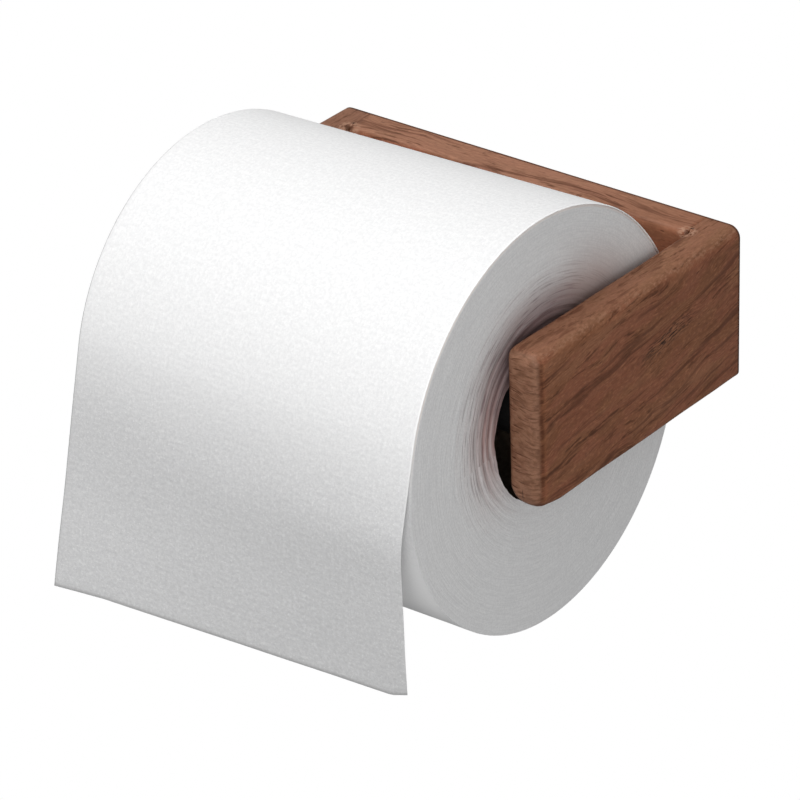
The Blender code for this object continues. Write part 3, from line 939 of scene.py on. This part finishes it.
def arm(side, label, material):
    low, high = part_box(f"{label}_arm")
    outer = max(abs(low.x), abs(high.x))
    inner = min(abs(low.x), abs(high.x))
    front, wall = low.y, high.y
    board_low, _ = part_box("back_board")
    board_front = board_low.y
    counts = counts_for(outer - inner, high.z - low.z)
    run_out = ROUTED_ROUND

    ends = [EDGE_ROUND * (1 - math.cos(math.pi / 2 * i / 8)) for i in range(9)]
    places = [wall, wall - 0.12 * MM, wall - WALL_EDGE_ROUND]
    places += spread(wall - WALL_EDGE_ROUND - 1 * MM, board_front + run_out, GRID_STEP)
    places += spread(board_front + run_out - 0.2 * MM, board_front - 0.2 * MM, 0.25 * MM)
    places += spread(board_front - 1.2 * MM, front + EDGE_ROUND, GRID_STEP)[:-1]
    places += [front + d for d in reversed(ends)]

    loops, wear_and_highlight_rows, end_rows = [], [], []
    for y in places:
        depth = y - front
        outside = quarter_inset(EDGE_ROUND, depth)
        inside = quarter_inset(ROUTED_ROUND, depth)
        at_wall = quarter_inset(WALL_EDGE_ROUND, wall - y)
        past = min(max((y - board_front) / run_out, 0.0), 1.0)
        routed = max(ROUTED_ROUND * math.sqrt(1 - past * past), 0.05 * MM)
        wobble = 1 + 0.12 * noise.noise(Vector((y * 60, side * 3.0, 0)))
        big = max(EDGE_ROUND * wobble - max(outside, at_wall), 0.05 * MM)
        small = max(routed * wobble - max(inside, at_wall), 0.05 * MM)
        lower = LOWER_ROUND + (LOWER_TIP_ROUND - LOWER_ROUND) * smoothstep(1 - depth / (9 * MM))
        lower = max(lower * wobble - 0.5 * outside - at_wall, 0.05 * MM)
        tip = small + (TIP_ROUND - ROUTED_ROUND) * smoothstep(1 - depth / (14 * MM))
        a0, a1 = inner + inside, outer - max(outside, at_wall)
        b = high.z - max(outside, at_wall)
        loop, wear_and_highlight = section_loop((a0, -b), (a1, b), (big, small, tip, lower), counts)
        loops.append([(side * a, y, z) for a, z in loop])
        near_front = smoothstep(1 - depth / (2.2 * EDGE_ROUND))
        wear_and_highlight_rows.append([max(0.8 * w, w * near_front) for w in wear_and_highlight])
        end_rows.append(smoothstep(1 - depth / (1.25 * EDGE_ROUND)))

    def hold_of(p):
        if abs(p[0]) < inner + 0.02 * MM:
            return 0.0
        return smoothstep((wall - p[1]) / (3 * MM))

    made = board(f"{label}_arm_wood", loops, wear_and_highlight_rows, end_rows, 3.1 + side, material, hold_of)
    pin = SPINDLE_PIN + BORE_GAP
    bottom = inner + SOCKET_DEPTH
    points, faces = turned([(side * (inner - 1 * MM), pin), (side * bottom, pin)], BORE_STEPS, "X")
    cut(made, points + np.array((0, SPINDLE.y, SPINDLE.z)), faces)
    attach(made, "frame")
    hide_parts(f"{label}_arm")


def back_board(material):
    low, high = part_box("back_board")
    arm_low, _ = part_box("right_arm")
    half = arm_low.x - JOINT_LINE
    counts = counts_for(high.y - low.y, high.z - low.z)
    loops, wear_and_highlight_rows = [], []
    for x in spread(-half, half, GRID_STEP):
        wobble = 1 + 0.12 * noise.noise(Vector((x * 60, 7.0, 0)))
        wall_round, front_round = WALL_EDGE_ROUND, ROUTED_ROUND * wobble
        rounds = (wall_round, front_round, front_round, wall_round)
        loop, wear_and_highlight = section_loop((low.y, low.z), (high.y, high.z), rounds, counts)
        loops.append([(x, y, z) for y, z in loop])
        wear_and_highlight_rows.append([0.5 * w for w in wear_and_highlight])

    def hold_of(p):
        return smoothstep((half - abs(p[0])) / (4 * MM)) * smoothstep((high.y - p[1]) / (2 * MM))

    made = board("back_board_wood", loops, wear_and_highlight_rows, [0.0] * len(loops), 9.4, material, hold_of, 0.62)
    for label in ("left", "right"):
        head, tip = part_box(f"wall_screw_{label}")
        middle = (head + tip) / 2
        radius = (tip.x - head.x) / 2
        mouth = radius + BORE_GAP
        hole = SCREW_SHANK + BORE_GAP
        profile = [
            (low.y - 1 * MM, mouth),
            (head.y, mouth),
            (head.y + HEAD_DEPTH, hole),
            (high.y + 1 * MM, hole),
        ]
        points, faces = turned(profile, BORE_STEPS, "Y")
        cut(made, points + np.array((middle.x, 0, middle.z)), faces)
    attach(made, "frame")
    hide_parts("back_board")


def screw(label, material):
    """A countersunk wood screw with a rolled thread and a crossed recess."""
    low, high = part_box(f"wall_screw_{label}")
    length = high.y - low.y
    head_radius = (high.x - low.x) / 2
    middle = (low + high) / 2
    rows = []
    places = [0.0, 0.0, 0.02 * MM] + spread(0.3 * MM, HEAD_DEPTH, 0.5 * MM)
    places += spread(3 * MM, THREAD_START, 1 * MM)
    places += spread(THREAD_START + THREAD_STEP, length - THREAD_STEP, THREAD_STEP) + [length]
    for number, place in enumerate(places):
        row = []
        for step in range(SCREW_STEPS):
            share = step / SCREW_STEPS
            if place <= HEAD_DEPTH:
                radius = head_radius + (SCREW_SHANK - head_radius) * place / HEAD_DEPTH
                if number == 0:
                    radius = TINY
                if number == 1:
                    radius = head_radius - HEAD_RIM
            elif place <= THREAD_START:
                radius = SCREW_SHANK - 0.25 * MM * smoothstep((place - 4 * MM) / (2 * MM))
            else:
                phase = (place / THREAD_PITCH - share) % 1.0
                ridge = max(1 - abs(phase - 0.5) / 0.22, 0.0)
                rise = smoothstep((place - THREAD_START) / THREAD_PITCH)
                taper = min((length - place) / SCREW_POINT, 1.0) ** 0.8
                core = SCREW_CORE + 0.4 * MM * (1 - rise)
                radius = (core + (SCREW_SHANK - SCREW_CORE) * ridge * rise) * taper
                radius = max(radius, TINY)
            angle = math.tau * share
            x = middle.x + radius * math.cos(angle)
            row.append((x, low.y + place, middle.z + radius * math.sin(angle)))
        rows.append(row)
    faces = lattice_faces(len(rows), SCREW_STEPS)
    points = np.concatenate([np.array(r) for r in rows])
    made = mesh_object(f"threaded_screw_{label}", points, faces, [material])
    outwards(made)
    for long_x, long_z in ((RECESS_LONG, RECESS_SHORT), (RECESS_SHORT, RECESS_LONG)):
        box = []
        for y, share in ((low.y - 1 * MM, 1.0), (low.y + RECESS_DEPTH, 0.35)):
            across = long_x * share if long_x > long_z else long_x * (0.5 + 0.5 * share)
            up = long_z * share if long_z > long_x else long_z * (0.5 + 0.5 * share)
            box += [(-across, y, -up), (across, y, -up), (across, y, up), (-across, y, up)]
        cross = np.array(box) + np.array((middle.x, 0, middle.z))
        cut(made, cross, lattice_faces(2, 4) + [(0, 1, 2, 3), (4, 5, 6, 7)])
    made.data.set_sharp_from_angle(angle=SCREW_SHARP_ANGLE)
    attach(made, "frame")
    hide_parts(f"wall_screw_{label}")


# ---------------------------------------------------------------- roll and sheet


def roll_matrix():
    return Matrix.Translation(ROLL_CENTRE) @ Matrix.Rotation(-ROLL_TILT, 4, "Y")


def round_the_roll(steps):
    """(angle, direction) pairs from the front, up over the top and back."""
    for step in range(steps):
        angle = math.tau * step / steps
        yield angle, Vector((0, -math.cos(angle), math.sin(angle)))


def ply_groups(seed):
    """Radii where the loose inner windings change level, and each group's own level from -1 to 1."""
    rng = np.random.default_rng(seed)
    edges, levels = [PAPER_INSIDE - 3 * MM], []
    while edges[-1] < PAPER_INSIDE + LOOSE_ZONE:
        edges.append(edges[-1] + rng.uniform(0.9, 2.3) * MM)
        levels.append(rng.uniform(0.35, 1.0) * (-1) ** len(levels))
    return edges, levels


def end_relief(radius, angle, side, groups):
    """How far the end face lies in from the roll's end. Angle is from the front, up over the top."""
    y, z = math.cos(angle), math.sin(angle)
    ring = math.hypot(-radius * y - RING_CENTRE[0], radius * z - RING_CENTRE[1])
    inwards = (radius - LIP_RADIUS) / LOOSE_ZONE
    upper = 0.16 + 0.84 * smoothstep((z + 0.55) / 0.8)
    loose = smoothstep(1.4 * (1.15 - inwards)) * upper
    depth = 0.05 * MM
    for scale, reach in ((0.95, 0.035), (2.4, 0.03)):
        depth += reach * MM * noise.noise(Vector((radius / MM * scale, 1.8 * y + 4 * side, 1.8 * z)))
    shift = 0.7 * MM * noise.noise(Vector((0.8 * y, 0.8 * z, 3 * side)))
    edges, levels = groups
    for number, level in enumerate(levels):
        inside = smoothstep((ring + shift - edges[number]) / (0.35 * MM) + 0.5)
        outside = smoothstep((ring + shift - edges[number + 1]) / (0.35 * MM) + 0.5)
        strength = level * (0.75 + noise.noise(Vector((1.3 * y, 1.3 * z, 2.7 * number + side))))
        depth += LOOSE_DEPTH * strength * (inside - outside) * loose
    depth += DISH_DEPTH * smoothstep(1.1 - inwards) * loose
    edge = max(0.0, 1 - (ROLL_RADIUS - radius) / RIM_ROUND)
    return max(depth + RIM_ROUND * edge * smoothstep((z + 0.1) / 0.5), 0.0)


def lip_radius(angle, side):
    """The ragged inner outline of the paper at the roll's end."""
    y, z = math.cos(angle), math.sin(angle)
    ragged = noise.noise(Vector((4 * y, 4 * z, 2 * side))) + 0.6 * noise.noise(Vector((14 * y, 14 * z, side)))
    if side < 0:  # clear of the plunger, which lies close under the core there
        return CORE_BORE + 0.22 * ragged * MM
    return LIP_RADIUS + (0.35 * z + 0.22 * ragged) * MM


def paper_roll(side_look, end_look):
    """The wound paper: (place along, radius, which end or 0 for the sides) rows swept round."""
    loose_edge = LIP_RADIUS + LOOSE_ZONE + 3 * MM
    radii = [ROLL_RADIUS, *spread(ROLL_RADIUS - RIM_ROUND, loose_edge, PLY_STEP)[:-1]]
    radii += spread(loose_edge, LIP_RADIUS, LOOSE_STEP)
    rows = [(x, ROLL_RADIUS, 0) for x in spread(-ROLL_HALF, ROLL_HALF, 2.2 * MM)[1:-1]]
    rows += [(ROLL_HALF, radius, 1) for radius in radii]
    under_lip = ROLL_HALF - LIP_DEPTH
    rows += [(under_lip, LIP_BACK, 0), (under_lip, PAPER_INSIDE, 0)]
    rows += [(x, PAPER_INSIDE, 0) for x in spread(under_lip, -under_lip, 6 * MM)[1:-1]]
    rows += [(-under_lip, PAPER_INSIDE, 0), (-under_lip, LIP_BACK, 0)]
    rows += [(-ROLL_HALF, radius, -1) for radius in reversed(radii)]
    groups = {1: ply_groups(5), -1: ply_groups(12)}
    points = []
    for x, radius, side in rows:
        for angle, out in round_the_roll(ROLL_STEPS):
            place, r = x, radius
            if side:
                place = x - side * end_relief(radius, angle, side, groups[side])
                share = max(0.0, 1 - (radius - LIP_RADIUS) / (2.5 * MM))
                r += (lip_radius(angle, side) - LIP_RADIUS) * share
            elif radius == LIP_BACK:
                r = lip_radius(angle, math.copysign(1, x)) + 0.12 * MM
            elif radius == ROLL_RADIUS:
                lump = noise.noise(Vector((place * 30, 3 * out.y, 3 * out.z)))
                r -= 0.06 * MM * (1 + lump) * smoothstep((ROLL_HALF - abs(place)) / (8 * MM))
            points.append((place, out.y * r, out.z * r))
    faces = lattice_faces(len(rows), ROLL_STEPS, wrap_rows=True)
    made = mesh_object("wound_paper", points, faces, [side_look, end_look], roll_matrix())
    index = np.zeros(len(faces), np.int32)
    for row in range(len(rows)):
        after = (row + 1) % len(rows)
        if rows[row][1] < ROLL_RADIUS or rows[after][1] < ROLL_RADIUS:
            index[row * ROLL_STEPS : (row + 1) * ROLL_STEPS] = 1
    made.data.polygons.foreach_set("material_index", index)
    outwards(made)
    made.data.set_sharp_from_angle(angle=SHARP_ANGLE)
    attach(made, "roll")
    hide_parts("paper_roll")
    return made


def core(look):
    half = ROLL_HALF - CORE_SUNK
    rows = [(x, CORE_OUTSIDE) for x in spread(-half, half, 5 * MM)]
    rows += [(x, CORE_BORE) for x in spread(half, -half, 5 * MM)]
    points = []
    for x, radius in rows:
        for _, out in round_the_roll(CORE_STEPS):
            dent = 0.10 * MM * noise.noise(Vector((x * 25, 3 * out.y, 3 * out.z)))
            point = out * (radius + dent)
            points.append((x, point.y, point.z))
    faces = lattice_faces(len(rows), CORE_STEPS, wrap_rows=True)
    made = mesh_object("wound_core", points, faces, [look], roll_matrix())
    outwards(made)
    made.data.set_sharp_from_angle(angle=SHARP_ANGLE)
    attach(made, "roll")
    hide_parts("cardboard_core")


def sheet_lean(across, z):
    """Forward travel per unit of fall of the hanging part. Across is 0 at the left edge."""
    right = LEAN - LEAN_LOST * smoothstep((-9 * MM - z) / (14 * MM))
    return LEAN + (right - LEAN) * across


def sheet_points():
    """Rows of the sheet's middle surface from its hidden end to its foot, and the length so far."""
    radius = ROLL_RADIUS + PLY_GAP + PLY_THICKNESS / 2
    matrix = roll_matrix()
    inner = spread(-ROLL_HALF + SHEET_BEVEL, ROLL_HALF - SHEET_BEVEL, SHEET_STEP)
    columns = [-ROLL_HALF, *inner, ROLL_HALF]
    lift = (SHEET_STARTS_Z - ROLL_CENTRE.z) / radius
    start = math.pi - math.asin(lift)
    arc = radius * (start - SHEET_LEAVES)
    rows, lengths = [], []
    for travelled in spread(0, arc, SHEET_STEP):
        angle = start - travelled / radius
        curl = SHEET_CURL * smoothstep((math.sin(angle) - 0.3) / 0.5)
        reach = [radius - (curl if abs(x) == ROLL_HALF else 0.0) for x in columns]
        rows.append(
            [matrix @ Vector((x, -r * math.cos(angle), r * math.sin(angle))) for x, r in zip(columns, reach)]
        )
        lengths.append(travelled)
    leaving = rows[-1]
    for number in range(1, FALL_STEPS + 1):
        row = []
        for index, (x, top) in enumerate(zip(columns, leaving)):
            across = (x + ROLL_HALF) / (2 * ROLL_HALF)
            foot = np.interp(across, *zip(*SHEET_FOOT))
            before = rows[-1][index]
            z = top.z + (foot - top.z) * number / FALL_STEPS
            fallen = before.z - z
            y = before.y - fallen * sheet_lean(across, (before.z + z) / 2)
            straight = x + (top.x - x) * (1 - number / FALL_STEPS)
            row.append(Vector((straight, y, z)))
        rows.append(row)
        middle = len(columns) // 2
        lengths.append(lengths[-1] + (row[middle] - rows[-2][middle]).length)
    return rows, lengths, columns


def rim(rows, columns):
    """Indices round the outside of a lattice, in order."""
    top = list(range(columns))
    right = [columns * row + columns - 1 for row in range(1, rows)]
    bottom = [columns * (rows - 1) + column for column in range(columns - 2, -1, -1)]
    left = [columns * row for row in range(rows - 2, 0, -1)]
    return top + right + bottom + left


def sheet(look):
    rows, lengths, columns = sheet_points()
    count, width = len(rows), len(columns)
    middle = np.array([[tuple(p) for p in row] for row in rows])
    down = np.gradient(middle, axis=0)
    along = np.gradient(middle, axis=1)
    normals = np.cross(along, down)
    normals /= np.linalg.norm(normals, axis=2, keepdims=True)
    if normals[-1, width // 2, 1] > 0:
        normals = -normals
    leave = next(i for i, length in enumerate(lengths) if length >= lengths[-1] - SHEET_FREE)
    for row in range(count):
        freed = smoothstep((row - leave) / FREE_ROWS)
        for column in range(width):
            p = middle[row, column]
            wave = noise_at(p, 26, 4.0) * 0.45 + noise_at(p, 70, 1.0) * 0.12
            middle[row, column] += normals[row, column] * wave * freed * MM
    half = np.full((count, width, 1), PLY_THICKNESS / 2)
    half[:, 0] = half[:, -1] = half[-1] = PLY_THICKNESS / 10
    skins = (middle + normals * half, middle - normals * half)
    points = np.concatenate([skin.reshape(-1, 3) for skin in skins])
    size = count * width
    faces = lattice_faces(count, width, wrap_columns=False)
    faces += [tuple(reversed(f)) for f in lattice_faces(count, width, wrap_columns=False, first=size)]
    border = rim(count, width)
    for here, after in zip(border, border[1:] + border[:1]):
        faces.append((after, here, here + size, after + size))
    made = mesh_object("paper_sheet", points, faces, [look])
    flat = made.data.uv_layers.new(name="flat")
    places = np.array([(columns[i % size % width], lengths[i % size // width]) for i in range(2 * size)])
    loose = [smoothstep((11 * MM - p[2]) / (30 * MM)) * (p[1] < ROLL_CENTRE.y) for p in points]
    point_values(made, "free", loose)
    torn = np.zeros((2, count, width), np.float32)
    torn[:, -1] = 0.75
    point_values(made, "cut_edge", torn)
    corners = np.zeros(len(made.data.loops), np.int32)
    made.data.loops.foreach_get("vertex_index", corners)
    flat.data.foreach_set("uv", places[corners].astype(np.float32).ravel())
    outwards(made, weld=False)
    made.data.set_sharp_from_angle(angle=SHARP_ANGLE)
    axis = ROLL_AXIS
    downwards = Vector((0, -math.sin(SHEET_LEAVES), -math.cos(SHEET_LEAVES)))
    downwards = (downwards - axis * downwards.dot(axis)).normalized()
    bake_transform(made)
    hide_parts("hanging_sheet")


# ---------------------------------------------------------------- assembly


def spring(look):
    """The spindle's coil: round wire with closed end turns."""
    low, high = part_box("spindle_spring")
    wire, coil = SPRING_WIRE, (high.y - low.y) / 2 - SPRING_WIRE
    centre = (low + high) / 2
    free = high.x - low.x - 2 * wire
    closed = CLOSED_TURN * wire
    total = (SPRING_TURNS + 2) * TURN_STEPS
    path = []
    for step in range(total + 1):
        turn = step / TURN_STEPS
        if turn < 1:
            place = closed * turn
        elif turn > SPRING_TURNS + 1:
            place = free - closed * (SPRING_TURNS + 2 - turn)
        else:
            place = closed + (free - 2 * closed) * (turn - 1) / SPRING_TURNS
        angle = math.tau * turn
        out = Vector((0, math.cos(angle), math.sin(angle)))
        path.append((Vector((low.x + wire + place, centre.y, centre.z)) + coil * out, out))
    points = []
    for number, (middle, out) in enumerate(path):
        ahead = path[min(number + 1, total)][0] - path[max(number - 1, 0)][0]
        flat = out.cross(ahead.normalized())
        for side in range(WIRE_SIDES):
            around = math.tau * side / WIRE_SIDES
            points.append(middle + wire * (out * math.cos(around) + flat * math.sin(around)))
    faces = lattice_faces(total + 1, WIRE_SIDES)
    faces += [tuple(range(WIRE_SIDES)), tuple(range(len(points) - WIRE_SIDES, len(points)))]
    made = mesh_object("coil_spring", points, faces, [look])
    outwards(made)
    made.data.set_sharp_from_angle(angle=SHARP_ANGLE)
    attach(made, "spindle")
    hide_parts("spindle_spring")
    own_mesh(made)


def dress(node, look):
    for slot_ in frame["nodes"][node].material_slots:
        slot_.material = look


def main():
    add_camera()
    add_stage()

    arm(1, "right", wood("right_arm_grain", "YZX", ARM_TONES, 1.7, 0.14, ARM_TOP_SHEEN, 0.5, knot=PORE_CLUSTER))
    left_tones = [toned(tone, 0.72) for tone in ARM_TONES]
    arm(-1, "left", wood("left_arm_grain", "YZX", left_tones, 8.3, 0.05, LEFT_ARM_TOP_SHEEN, 0.7))
    back_board(wood("back_board_grain", "XYZ", BOARD_TONES, 4.9, 0.03, BOARD_TOP_SHEEN, 0.66))

    steel = zinc()
    for label in ("left", "right"):
        screw(label, steel)
        for number in (1, 2):
            dress(f"corner_dowel_{label}_{number}", dowel_wood())
    plastic = moulded_plastic()
    dress("spindle_barrel", plastic)
    dress("spindle_plunger", plastic)
    spring(drawn_wire())

    roll = paper_roll(roll_tissue(), ply_edges("ply_edges"))
    core(cardboard())
    sheet(sheet_tissue())


main()
